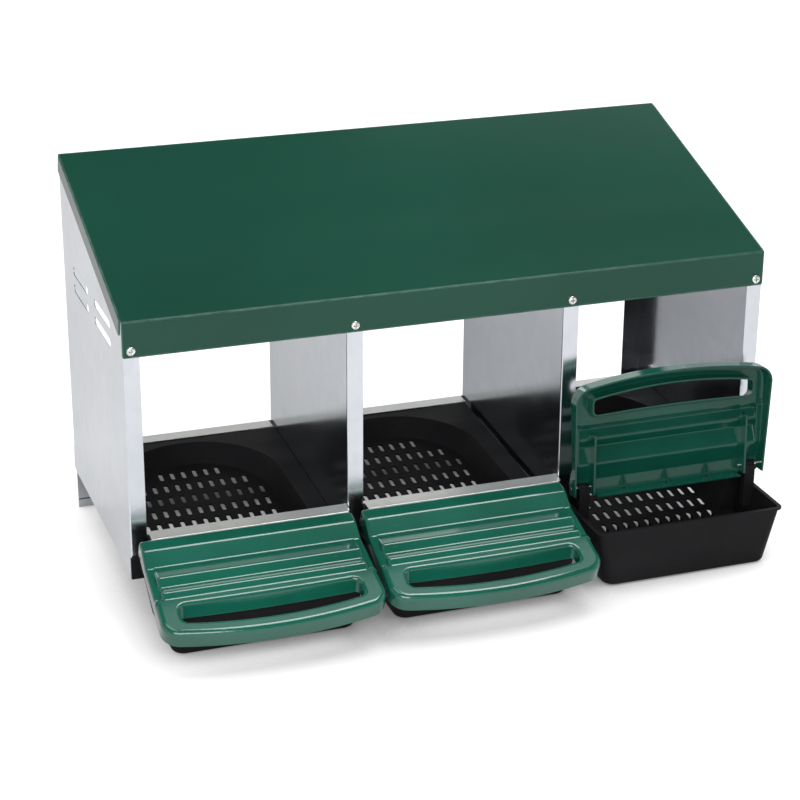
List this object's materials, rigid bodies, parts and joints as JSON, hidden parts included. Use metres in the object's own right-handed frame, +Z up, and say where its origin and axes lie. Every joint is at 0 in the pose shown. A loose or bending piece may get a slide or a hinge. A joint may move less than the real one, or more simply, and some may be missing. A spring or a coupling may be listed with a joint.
{
  "type": "chicken nesting box",
  "caption": "Nesting box for hens: sheet-metal case with a sloping roof, slotted nest trays whose floors roll eggs forward into troughs, and hinged lids with grip slots.",
  "frame": {"origin": "on the floor, under the centre of the bounding box as stored, with the two shut lids and the open right one", "axes": "+X to the right along the bays as seen from the front, +Y from the front to the back, +Z up"},
  "size_m": [0.8524, 0.5322, 0.5054],
  "materials": {
    "galvanised_sheet": "smooth galvanised sheet with a soft mirror shine",
    "green_paint": "dark green satin paint",
    "green_plastic": "dark green glossy moulding",
    "black_plastic": "black satin moulding",
    "zinc_steel": "bright zinc plating"
  },
  "bodies": {
    "case": {"left_side_panel": "galvanised_sheet", "right_side_panel": "galvanised_sheet", "left_divider": "galvanised_sheet", "right_divider": "galvanised_sheet", "left_front_sill": "galvanised_sheet", "middle_front_sill": "galvanised_sheet", "right_front_sill": "galvanised_sheet", "rear_rail": "galvanised_sheet", "roof": "green_paint", "left_nest_tray": "black_plastic", "left_hinge_pins": "zinc_steel", "middle_nest_tray": "black_plastic", "middle_hinge_pins": "zinc_steel", "right_nest_tray": "black_plastic", "right_hinge_pins": "zinc_steel", "roof_front_screws": "zinc_steel", "roof_front_nuts": "zinc_steel", "roof_rear_screws": "zinc_steel", "roof_rear_nuts": "zinc_steel", "rear_rail_screws": "zinc_steel", "rear_rail_nuts": "zinc_steel"},
    "left_lid": {"left_egg_lid": "green_plastic"},
    "middle_lid": {"middle_egg_lid": "green_plastic"},
    "right_lid": {"right_egg_lid": "green_plastic"}
  },
  "joints": [
    {"name": "lid_left", "type": "hinge", "parent": "case", "child": "left_lid", "pos_m": [-0.2845, -0.122, 0.11], "axis": [-1, 0, 0], "range_deg": [0, 112.6]},
    {"name": "lid_middle", "type": "hinge", "parent": "case", "child": "middle_lid", "pos_m": [0, -0.122, 0.11], "axis": [-1, 0, 0], "range_deg": [0, 112.6]},
    {"name": "lid_right", "type": "hinge", "parent": "case", "child": "right_lid", "pos_m": [0.2845, -0.122, 0.11], "axis": [-1, 0, 0], "range_deg": [-112.6, 0]}
  ]
}
